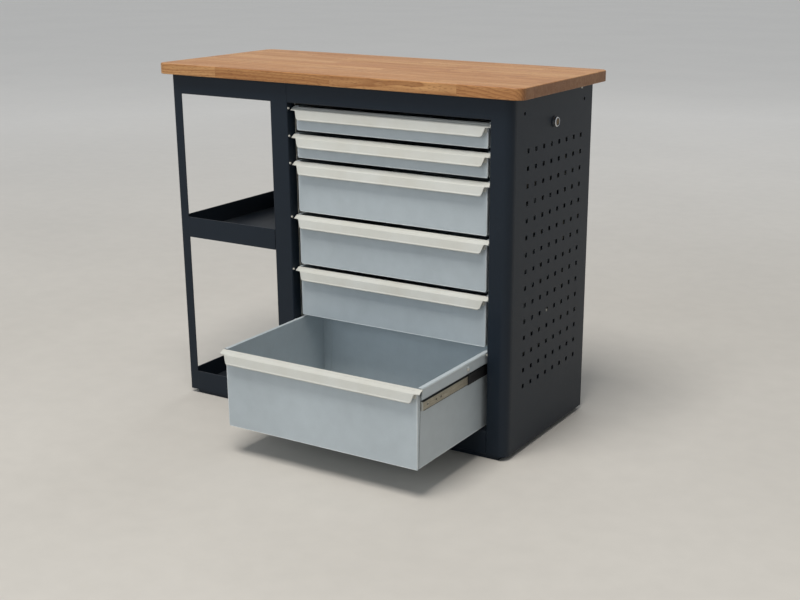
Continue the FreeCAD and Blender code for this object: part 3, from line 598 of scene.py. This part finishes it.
def outward(points, quads):
    """Each quad's two triangles with the origin fill a signed volume; a negative sum turns all quads."""
    a, b, c, d = (points[quads[:, corner]] for corner in range(4))
    volume = np.einsum("ij,ij->", a, np.cross(b, c)) + np.einsum("ij,ij->", a, np.cross(c, d))
    return quads if volume > 0 else quads[:, ::-1]


def make_piece(name, surfaces, material, body):
    """One smooth object from several closed surfaces (points in mm, quads), riding on a body."""
    all_points, all_quads, start = [], [], 0
    for points, quads in surfaces:
        all_points.append(points)
        all_quads.append(outward(points, quads) + start)
        start += len(points)
    mesh = bpy.data.meshes.new(name)
    mesh.from_pydata((np.vstack(all_points) * MM).tolist(), [], np.vstack(all_quads).tolist())
    mesh.polygons.foreach_set("use_smooth", np.full(len(mesh.polygons), True))
    mesh.materials.append(material)
    piece = bpy.data.objects.new(name, mesh)
    bpy.context.scene.collection.objects.link(piece)
    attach(piece, body)
    return piece


# %% A rounded line, and a loop of even thickness round it
def rounded_line(corners, radii, steps=7):
    """An arc at each inner corner: centre = corner + (b - a) r / sin(turn), a and b the steps beside it."""
    corners = np.asarray(corners, float)
    runs = [corners[:1]]
    for corner, before, after, radius in zip(corners[1:-1], corners[:-2], corners[2:], radii):
        a = (corner - before) / np.linalg.norm(corner - before)
        b = (after - corner) / np.linalg.norm(after - corner)
        turn = math.acos(float(a @ b))
        centre = corner + (b - a) * radius / math.sin(turn)
        enter = corner - a * radius * math.tan(turn / 2) - centre
        leave = corner + b * radius * math.tan(turn / 2) - centre
        share = np.linspace(0.0, 1.0, steps)[:, None]
        runs.append(centre + (np.sin((1 - share) * turn) * enter + np.sin(share * turn) * leave)
                    / math.sin(turn))
    runs.append(corners[-1:])
    return np.vstack(runs)


def travel_along(line):
    """Distance along a line up to each of its points."""
    return np.concatenate([[0.0], np.cumsum(np.linalg.norm(np.diff(line, axis=0), axis=1))])


def with_more_points(line, places):
    """The same line with points added at the given distances along it."""
    travel = travel_along(line)
    every = np.unique(np.round(np.concatenate([travel, places]), 4))
    return np.column_stack([np.interp(every, travel, line[:, axis]) for axis in range(line.shape[1])])


def thick_loop(line, half, cap=5):
    """Loop = base + offset: out along the line's left side, round its end, back along its right side."""
    step = np.gradient(line, axis=0)
    step /= np.linalg.norm(step, axis=1)[:, None]
    left = np.column_stack([-step[:, 1], step[:, 0]])
    turn = np.linspace(0.0, np.pi, cap + 2)[1:-1, None]
    end = (np.cos(turn) * left[-1] + np.sin(turn) * step[-1]) * half[-1]
    start = -(np.cos(turn) * left[0] + np.sin(turn) * step[0]) * half[0]
    offset = np.vstack([left * half[:, None], end, -(left * half[:, None])[::-1], start])
    which = np.concatenate([np.arange(len(line)), np.full(cap, len(line) - 1),
                            np.arange(len(line))[::-1], np.zeros(cap, int)])
    return line[which], offset, which


def run_across(base, offset, reach, middle, rounding, columns=20, steps=5):
    """P(i, j) = (x, base + w offset), with x = middle +- (reach - r + r sin a) and w = cos a at the ends."""
    angle = np.linspace(0.0, np.pi / 2, steps)[1:]
    share = np.concatenate([np.full(steps - 1, -1.0), np.linspace(-1.0, 1.0, columns), np.ones(steps - 1)])
    bulge = np.concatenate([-np.sin(angle[::-1]), np.zeros(columns), np.sin(angle)]) * rounding
    shrink = np.concatenate([np.cos(angle[::-1]), np.ones(columns), np.cos(angle)])
    x = middle + np.outer(share, reach - rounding) + bulge[:, None]
    section = base[None] + shrink[:, None, None] * offset[None]
    return np.concatenate([x[:, :, None], section], axis=2)


print("sections ready")

# %% [markdown]
# ## Grips
# Each drawer is opened by a moulded strip that hooks over its front. Its flange slopes down and forward
# over the front's top edge and ends wider than its lip, which hangs in front of the plate and is cut back at
# both ends. The lip carries a small bead along its lower edge.

# %% Six grips
flange_rear = 5.0                # behind the drawer's face
flange_fold = (-9.1, -9.6)       # where the flange turns down into the lip: before the face, below the top
lip_foot = (-13.3, -28.6)
hook_foot, hook_top = -6.0, -1.1
hook_radius, fold_bend = 1.6, 2.4
past_fold = -8.2                 # below this level the line is past the fold
wall = 1.0                       # half the strip's thickness
bead_swell, bead_spread = 0.8, 1.8
point_step = 1.1
fold_zone, bead_zone = (-0.8, 1.6), 4.0
zone_points = 9                  # the line is finer at the fold and at the bead
lip_inset = 12.0                 # the lip is narrower than the flange by this much at each end
inset_run = 1.2
lip_taper = 7.0
corner_radius = 3.0
corner_share = 0.98              # a little less than a full quarter ellipse, so that the end stays open
leg_place = -1.1                 # the inner leg hangs close before the face
leg_levels = (-4.0, -8.0, -20.9)
end_rounding = 1.0


def grip_surfaces(face, top, middle, half):
    """The hooked strip and its inner leg; the reach falls by lip_inset at the fold, then by lip_taper."""
    corners = [(flange_rear, hook_foot), (flange_rear, hook_top), flange_fold, lip_foot]
    line = rounded_line(corners, [hook_radius, fold_bend])
    travel = travel_along(line)
    total = travel[-1]
    fold = travel[np.argmax(line[:, 1] < past_fold)]
    near_fold = fold + np.linspace(*fold_zone, zone_points)
    near_bead = total - np.linspace(0.0, bead_zone, zone_points)
    line = with_more_points(line, np.concatenate([np.arange(0.0, total, point_step), near_fold, near_bead]))
    travel = travel_along(line)
    half_wall = wall + bead_swell * np.exp(-((total - travel) / bead_spread) ** 2)
    past = np.clip((travel - fold) / inset_run, 0.0, 1.0)
    down = np.clip((travel - fold) / (total - fold), 0.0, 1.0)
    corner = np.clip((travel - total + corner_radius) / corner_radius, 0.0, 1.0)
    reach = half - lip_inset * past ** 2 * (3 - 2 * past) - lip_taper * down
    reach -= corner_radius * (1 - np.sqrt(1 - corner_share * corner ** 2))
    base, offset, which = thick_loop(line, half_wall)
    strip = run_across(base + (face, top), offset, reach[which], middle, end_rounding, columns=24)
    leg = np.array([(leg_place, level) for level in leg_levels])
    base, offset, which = thick_loop(leg, np.full(len(leg), wall), cap=3)
    leg_reach = np.full(len(which), half - lip_inset)
    inner = run_across(base + (face, top), offset, leg_reach, middle, end_rounding, columns=12)
    return [rings(strip), rings(inner)]


for name in drawers:
    low, high = box_mm(name + "_grip")
    face = box_mm(name + "_front")[0].y
    surfaces = grip_surfaces(face, high.z, (low.x + high.x) / 2, (high.x - low.x) / 2)
    strip = make_piece(name + "_grip_strip", surfaces, cream, name)
    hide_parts(name + "_grip")
    print(strip.name, len(strip.data.polygons), "faces")

# %% [markdown]
# ## Small fittings
# The rest is made of two simple surfaces. One is a block with softened edges, which is a sphere whose sines
# and cosines are raised to a small power. The other is a profile turned round an axis. They give the end
# stops of the slides, the balls in their cages, the pale caps on the catches that the lock's hooks hold,
# the beads along the drawers' lower edges, whose pale coat is a painted highlight, and the dark lines of
# painted shade in the gaps behind the fronts' cheeks.

# %% Soft blocks and turned shapes
def soft_block(low, high, power=0.22, rows=12, columns=24):
    """P = middle + half (c(v) c(u), c(v) s(u), s(v)); c and s are cosine and sine raised to power."""
    low, high = np.asarray(low, float), np.asarray(high, float)
    middle, half = (low + high) / 2, (high - low) / 2
    v = np.linspace(-np.pi / 2, np.pi / 2, rows + 1)[:, None]
    u = np.linspace(0.0, 2 * np.pi, columns, endpoint=False)[None, :] + np.pi / columns

    def raised(wave):
        return np.sign(wave) * np.abs(wave) ** power

    waist = np.where(np.abs(np.cos(v)) < 1e-9, 0.0, raised(np.cos(v)))
    unit = np.stack([waist * raised(np.cos(u)), waist * raised(np.sin(u)),
                     np.broadcast_to(raised(np.sin(v)), (rows + 1, columns))], axis=-1)
    return rings(middle + half * unit)


def turned(profile, foot, axis, count=32):
    """P(i, u) = foot + along_i axis + radius_i (cos u e1 + sin u e2), for profile points (along, radius)."""
    profile = np.asarray(profile, float)
    axis = np.asarray(axis, float)
    e1 = np.cross(axis, (0.3, 0.5, 0.9))
    e1 /= np.linalg.norm(e1)
    e2 = np.cross(axis, e1)
    u = np.linspace(0.0, 2 * np.pi, count, endpoint=False)
    wheel = np.cos(u)[:, None] * e1 + np.sin(u)[:, None] * e2
    return rings(np.asarray(foot, float) + profile[:, 0, None, None] * axis
                 + profile[:, 1, None, None] * wheel)


def mirrored(surface, middle):
    """The same surface on the other side of the plane x = middle."""
    points, quads = surface
    flipped = points * (-1.0, 1.0, 1.0) + (2 * middle, 0.0, 0.0)
    return flipped, quads


print("fittings ready")

# %% End stops of the slides
cheek_sheet = 0.8                # a front's cheek stands this far outside the drawer's side
stop_play = 0.3
stop_below_face = 0.2
stop_front, stop_rear = -0.5, 1.0
tab_slot_from_end, tab_slot_length = 16.0, 6.0
tab_slot_spread = 2.3
tab_half, tab_sunk, tab_proud = 0.7, 1.0, 0.5
for name in drawers:
    low, high = box_mm(name + "_rails")
    middle = (low.x + high.x) / 2
    side = box_mm(name + "_front")[1].x - cheek_sheet
    height = (low.z + high.z) / 2
    tab_y = low.y + tab_slot_from_end
    pieces = [soft_block((side + stop_play, low.y + stop_front, low.z + stop_play),
                         (high.x - stop_below_face, low.y + stop_rear, high.z - stop_play), 0.12)]
    for level in (height - tab_slot_spread, height + tab_slot_spread):
        pieces.append(soft_block((high.x - tab_sunk, tab_y, level - tab_half),
                                 (high.x + tab_proud, tab_y + tab_slot_length, level + tab_half), 0.5))
    pieces += [mirrored(piece, middle) for piece in pieces]
    make_piece(name + "_rail_ends", pieces, polyamide, name)
print("rail ends:", len(drawers))

# %% Balls in their cages
ball_radius = 0.85
ball_level = 0.5                 # a ball's centre, from the cage's lower and upper edge
ball_inset = 3.2
ball_spacing = 18.0
ball_arc = np.linspace(0.0, np.pi, 9)
ball_profile = np.column_stack([-np.cos(ball_arc), np.sin(ball_arc)]) * ball_radius
for name in drawers:
    low, high = box_mm(name + "_ball_cages")
    middle = (low.x + high.x) / 2
    places = np.arange(low.y + ball_spacing / 2, high.y, ball_spacing)
    balls = [turned(ball_profile, (high.x - ball_inset, y, z), (0, 1, 0), 12)
             for y in places for z in (low.z + ball_level, high.z - ball_level)]
    balls += [mirrored(ball, middle) for ball in balls]
    make_piece(name + "_balls", balls, chrome, name + "_slides")
print("balls per drawer:", len(balls))

# %% Caps on the catches, and beads of painted highlight along the lower edges
catch_below_top = 14.0
catch_half = 3.6
cap_sunk, cap_proud = 3.8, 0.4
cap_behind_bar, cap_length = 0.6, 6.8
bead_radius = 0.8
bead_nose, bead_taper = 0.3, 0.9
bead_sunk = 0.1
bead_front, bead_rear = 8.0, 9.0
bar_rear = box_mm("locking_bar")[1].y
for name in drawers:
    low, high = box_mm(name + "_box")
    side_low, side_high = box_mm(name + "_rails")
    front_low, front_high = box_mm(name + "_front")
    middle = (side_low.x + side_high.x) / 2
    pulled_out = box_mm("drawer_1_front")[0].y - front_low.y
    rear = bar_rear + cap_behind_bar - pulled_out
    level = box_mm(name + "_grip")[1].z - catch_below_top
    cap = soft_block((high.x - cap_sunk, rear, level - catch_half),
                     (high.x + cap_proud, rear + cap_length, level + catch_half), 0.35)
    make_piece(name + "_catch_cap", [cap], polyamide, name)
    # The beads' pale coat is a painted highlight along the drawers' lower edges.
    foot = (front_high.x - cheek_sheet - bead_sunk, front_low.y + bead_front, low.z + bead_radius)
    length = high.y - bead_rear - foot[1]
    profile = [(0.0, 0.0), (bead_nose, 0.7 * bead_radius), (bead_taper, bead_radius),
               (length - bead_taper, bead_radius), (length - bead_nose, 0.7 * bead_radius), (length, 0.0)]
    edge = turned(profile, foot, (0, 1, 0), 10)
    make_piece(name + "_lower_edge_highlights", [edge, mirrored(edge, middle)], fold_highlight_coat,
               name)
print("caps and beads:", len(drawers))

# %% Painted shade in the gaps behind the fronts' cheeks
cheek_top, cheek_foot = 14.3, 5.2
gap_shade_radius = 0.55
gap_shade_inset = 0.9
gap_shade_above_foot = 4.0
# Thin dark rods between each front's cheek and the drawer's side are painted shade of that gap.
for name in drawers:
    low, high = box_mm(name + "_front")
    middle = (low.x + high.x) / 2
    foot = np.array((high.x - gap_shade_inset, low.y + cheek_foot, low.z + gap_shade_above_foot))
    head = np.array((high.x - gap_shade_inset, low.y + cheek_top, high.z))
    length = float(np.linalg.norm(head - foot))
    profile = [(0.0, 0.0), (0.0, gap_shade_radius), (length, gap_shade_radius), (length, 0.0)]
    gap_shade = turned(profile, foot, (head - foot) / length, 8)
    make_piece(name + "_front_gap_shades", [gap_shade, mirrored(gap_shade, middle)], blackened, name)
print("seams:", len(drawers))

# %% [markdown]
# ## Painted highlights on the folds, painted shade lines on the slides
# Sheet metal shows its shape by its folds. Where the drawer's rim, its front plate and its lower edge turn,
# a narrow bright line runs along them: a painted highlight in the paler, shinier coat. A dark line of painted
# shade runs along the two edges of each slide. Both are slim rods with rounded ends, half sunk in the sheet.
# The rims' flat tops get a thin strip in the same pale coat, a painted highlight where they face the light.

# %% Painted highlights on the folds of rims and fronts
fold_radius = 0.9
fold_proud = 0.3
rim_reach = 8.5
rim_below_top = 2.0
rod_behind_face, rim_top_behind_face = 14.0, 8.0
rod_from_rear, rim_top_from_rear = 1.0, 0.5
rim_top_beside_side, rim_top_from_rim = 0.9, 0.6
upright_below_top = 9.0
upright_gap = 2.0                # between the rods at a front's lower corners


def rod(start, end, radius, count=10):
    """A rod from start to end: the radius grows from 0 as a quarter circle at both ends."""
    start, end = np.asarray(start, float), np.asarray(end, float)
    length = float(np.linalg.norm(end - start))
    angle = np.linspace(0.0, np.pi / 2, 4)
    near = np.column_stack([radius * (1 - np.cos(angle)), radius * np.sin(angle)])
    far = np.column_stack([length - near[::-1, 0], near[::-1, 1]])
    return turned(np.vstack([near, far]), start, (end - start) / length, count)


# Rods in the paler coat along the rims, the fronts' upright edges and their lower edges are painted
# highlights.
for name in drawers:
    low, high = box_mm(name + "_front")
    rear = box_mm(name + "_box")[1].y
    top = box_mm(name + "_grip")[1].z
    middle = (low.x + high.x) / 2
    side = high.x - cheek_sheet
    sunk = fold_radius - fold_proud
    edge_x, edge_y, edge_z = side - sunk, low.y + sunk, low.z + sunk
    rim_x, rim_z = side + rim_reach - sunk, top - rim_below_top - sunk
    rim_rod = rod((rim_x, low.y + rod_behind_face, rim_z), (rim_x, rear - rod_from_rear, rim_z), fold_radius)
    # The rim's flat top in the paler coat is a painted highlight where it faces the light from above.
    rim_top_highlight = soft_block((side - rim_top_beside_side, low.y + rim_top_behind_face, top - rim_below_top - fold_radius),
                         (side + rim_reach - rim_top_from_rim, rear - rim_top_from_rear,
                          top - rim_below_top + fold_proud), 0.1)
    upright = rod((edge_x, edge_y, edge_z + upright_gap), (edge_x, edge_y, top - upright_below_top),
                  fold_radius)
    rods = [rim_rod, rim_top_highlight, upright]
    rods += [mirrored(piece, middle) for piece in rods]
    rods.append(rod((2 * middle - edge_x + upright_gap, edge_y, edge_z),
                    (edge_x - upright_gap, edge_y, edge_z), fold_radius))
    make_piece(name + "_fold_highlights", rods, fold_highlight_coat, name)
print("folds:", len(drawers))

# %% Painted shade lines along the slides
shade_line_radius = 0.65
shade_line_inset = 0.4
shade_line_front, shade_line_rear = 2.0, 1.0
# Dark rods along each slide's upper and lower edge are painted shade where the slide stands out from the
# drawer.
for name in drawers:
    low, high = box_mm(name + "_rails")
    middle = (low.x + high.x) / 2
    x = high.x - shade_line_inset
    lines = [rod((x, low.y + shade_line_front, level), (x, high.y - shade_line_rear, level), shade_line_radius, 8)
             for level in (low.z + shade_line_inset, high.z - shade_line_inset)]
    lines += [mirrored(line, middle) for line in lines]
    make_piece(name + "_slide_shade_lines", lines, blackened, name)
print("grease lines:", len(drawers))

# %% [markdown]
# ## The lock's surround
# The lock sits in a round hole of the side panel. A flat washer in the panel's own dark coat lies under its
# head, and a dark ring parts the bright head from the plug that turns in it: painted shade of the groove
# between them. Both are short profiles of (height, radius), turned round the lock's axis.

# %% Rings of the lock
head_low, head_high = box_mm("lock_housing")
panel_face = box_mm("right_side_panel")[1].x
lock_centre = ((head_low.y + head_high.y) / 2, (head_low.z + head_high.z) / 2)
# The dark ring is painted shade of the groove between the lock's head and its plug.
ring_profile = [(-0.9, 6.6), (-0.1, 6.6), (0.25, 7.1), (0.25, 7.7), (-0.1, 8.2), (-0.9, 8.2), (-0.9, 6.6)]
washer_profile = [(0.02, 10.5), (0.02, 12.6), (0.5, 13.0), (1.0, 12.6), (1.2, 11.2), (1.2, 10.5),
                  (0.02, 10.5)]
for name, seat, profile in (("lock_dark_ring", head_high.x, ring_profile),
                            ("lock_washer", panel_face, washer_profile)):
    ring = turned(profile, (seat, *lock_centre), (1, 0, 0), 48)
    make_piece(name, [ring], anthracite, "bench_frame")
print("lock centre:", [round(value, 1) for value in lock_centre])

# %% [markdown]
# ## Floor, light and camera
# A pale floor without a wall keeps the bench easy to see from every side. The light is what a hall with
# roof lights gives: a wide soft source high above and in front, a weaker cool one before the bench, another
# behind it so that its back isn't black, and an even sky from everywhere. A surface that faces the roof light
# then shows about the colour that it was given. The camera stands before the bench's right corner, a little
# above the worktop, with a long lens that keeps the bench's upright lines nearly parallel.

# %% A wide pale floor
floor_reach = 60.0
far_glow = 0.34
glow_from, glow_to = 1.2, 5.5    # metres from the bench's middle


def disc(name, radius, ring_count, spoke_count):
    """A flat disc: the point at (r, a) is (r cos a, r sin a, 0), with r growing as the square of the ring."""
    share = np.linspace(0.0, 1.0, ring_count + 1)[1:]
    reach = radius * share ** 2
    turn = np.linspace(0.0, 2 * np.pi, spoke_count, endpoint=False)
    x = np.outer(reach, np.cos(turn)).ravel()
    y = np.outer(reach, np.sin(turn)).ravel()
    points = np.column_stack([x, y, np.zeros_like(x)])
    ring, spoke = np.meshgrid(np.arange(ring_count - 1), np.arange(spoke_count), indexing="ij")
    after = (spoke + 1) % spoke_count
    quads = np.stack([ring * spoke_count + spoke, (ring + 1) * spoke_count + spoke,
                      (ring + 1) * spoke_count + after, ring * spoke_count + after], axis=-1).reshape(-1, 4)
    mesh = bpy.data.meshes.new(name)
    mesh.from_pydata(points, [], quads.tolist() + [list(range(spoke_count))])
    piece = bpy.data.objects.new(name, mesh)
    bpy.context.scene.collection.objects.link(piece)
    return piece


def floor_material():
    """A pale poured floor: two sizes of cloud, both faint, and a glow that grows away from the bench."""
    material, tree, shader, place = start_material("pale_floor")
    broad = use(tree, drift, Place=place, Size=0.9, Strength=0.03)["Tone"]
    near = use(tree, drift, Place=place, Size=0.06, Strength=0.02)["Tone"]
    level = calc(tree, "MULTIPLY", broad, near)
    away = vector_calc(tree, "LENGTH", place)
    plug(tree, shader.inputs["Base Color"], dimmed(tree, paint(196, 192, 186), level))
    plug(tree, shader.inputs["Emission Strength"], spread(tree, away, glow_from, glow_to, 0.0, far_glow))
    shader.inputs["Emission Color"].default_value = paint(222, 224, 226)
    shader.inputs["Roughness"].default_value = 0.85
    return material


floor = disc("floor", floor_reach, 24, 48)
floor.data.materials.append(floor_material())
print("floor:", len(floor.data.polygons), "faces")

# %% The sky and the lamps
sky_strength = 0.30


def make_sky():
    """The world lights with a cool grey, and shows a pale grey to the camera and to reflections."""
    world = bpy.data.worlds.new("hall")
    bpy.context.scene.world = world
    world.use_nodes = True
    tree = world.node_tree
    path = put(tree, "LightPath").outputs
    seen = calc(tree, "MAXIMUM", path["Is Camera Ray"],
                calc(tree, "MAXIMUM", path["Is Glossy Ray"], path["Is Transmission Ray"]))
    shown = tree.nodes["Background"]
    shown.inputs["Color"].default_value = paint(188, 190, 192)
    lighting = put(tree, "Background", {"Color": (0.94, 0.98, 1.0, 1.0), "Strength": sky_strength})
    mixed = put(tree, "MixShader", {0: seen, 1: lighting.outputs[0], 2: shown.outputs[0]})
    plug(tree, tree.nodes["World Output"].inputs["Surface"], mixed.outputs[0])


def lamp(name, place, target, size, power, colour, in_gloss):
    """A square area lamp at place that looks at target; in_gloss says whether gloss mirrors it."""
    data = bpy.data.lights.new(name, "AREA")
    data.shape = "SQUARE"
    data.size = size
    data.energy = power
    data.color = colour
    piece = bpy.data.objects.new(name, data)
    piece.visible_camera = False
    piece.visible_glossy = in_gloss
    bpy.context.scene.collection.objects.link(piece)
    aim = Vector(target) - Vector(place)
    piece.matrix_world = Matrix.Translation(place) @ aim.to_track_quat("-Z", "Y").to_matrix().to_4x4()


make_sky()
middle = (cad_box[0] + cad_box[1]) / 2
lamp("roof_light", (0.2, -1.9, 5.0), middle, 2.2, 206.0, (1.0, 0.965, 0.91), True)
lamp("front_fill", (-0.8, -4.6, 1.9), middle, 2.4, 40.0, (0.80, 0.90, 1.0), False)
lamp("rear_fill", (-0.6, 3.6, 4.2), middle, 2.4, 50.0, (0.94, 0.97, 1.0), False)

# %% The camera
image_width, image_height = 800, 600
focal_pixels = 1279.5
optical_column, optical_row = 445.9, 347.7
camera_place = Vector((1.6762, -2.5589, 1.1410))
heading, pitch, roll = -0.5277, 0.3169, 0.0042
sensor = 36.0


def make_camera():
    """Looks along its heading, pitched down and rolled a little; the shift moves the optical centre."""
    forward = Vector((math.sin(heading) * math.cos(pitch), math.cos(heading) * math.cos(pitch),
                      -math.sin(pitch)))
    level = Vector((math.cos(heading), -math.sin(heading), 0.0))
    above = level.cross(forward)
    side = math.cos(roll) * level + math.sin(roll) * above
    up = math.cos(roll) * above - math.sin(roll) * level
    data = bpy.data.cameras.new("camera")
    data.sensor_width = sensor
    data.lens = focal_pixels / image_width * sensor
    data.shift_x = (image_width / 2 - optical_column) / image_width
    data.shift_y = (optical_row - image_height / 2) / image_width
    data.clip_end = 2 * floor_reach
    piece = bpy.data.objects.new("camera", data)
    bpy.context.scene.collection.objects.link(piece)
    turn = Matrix((side, up, -forward)).transposed().to_4x4()
    piece.matrix_world = Matrix.Translation(camera_place) @ turn
    bpy.context.scene.camera = piece


make_camera()
bpy.context.scene.view_settings.view_transform = "Standard"
print("lens:", round(bpy.context.scene.camera.data.lens, 1), "mm")
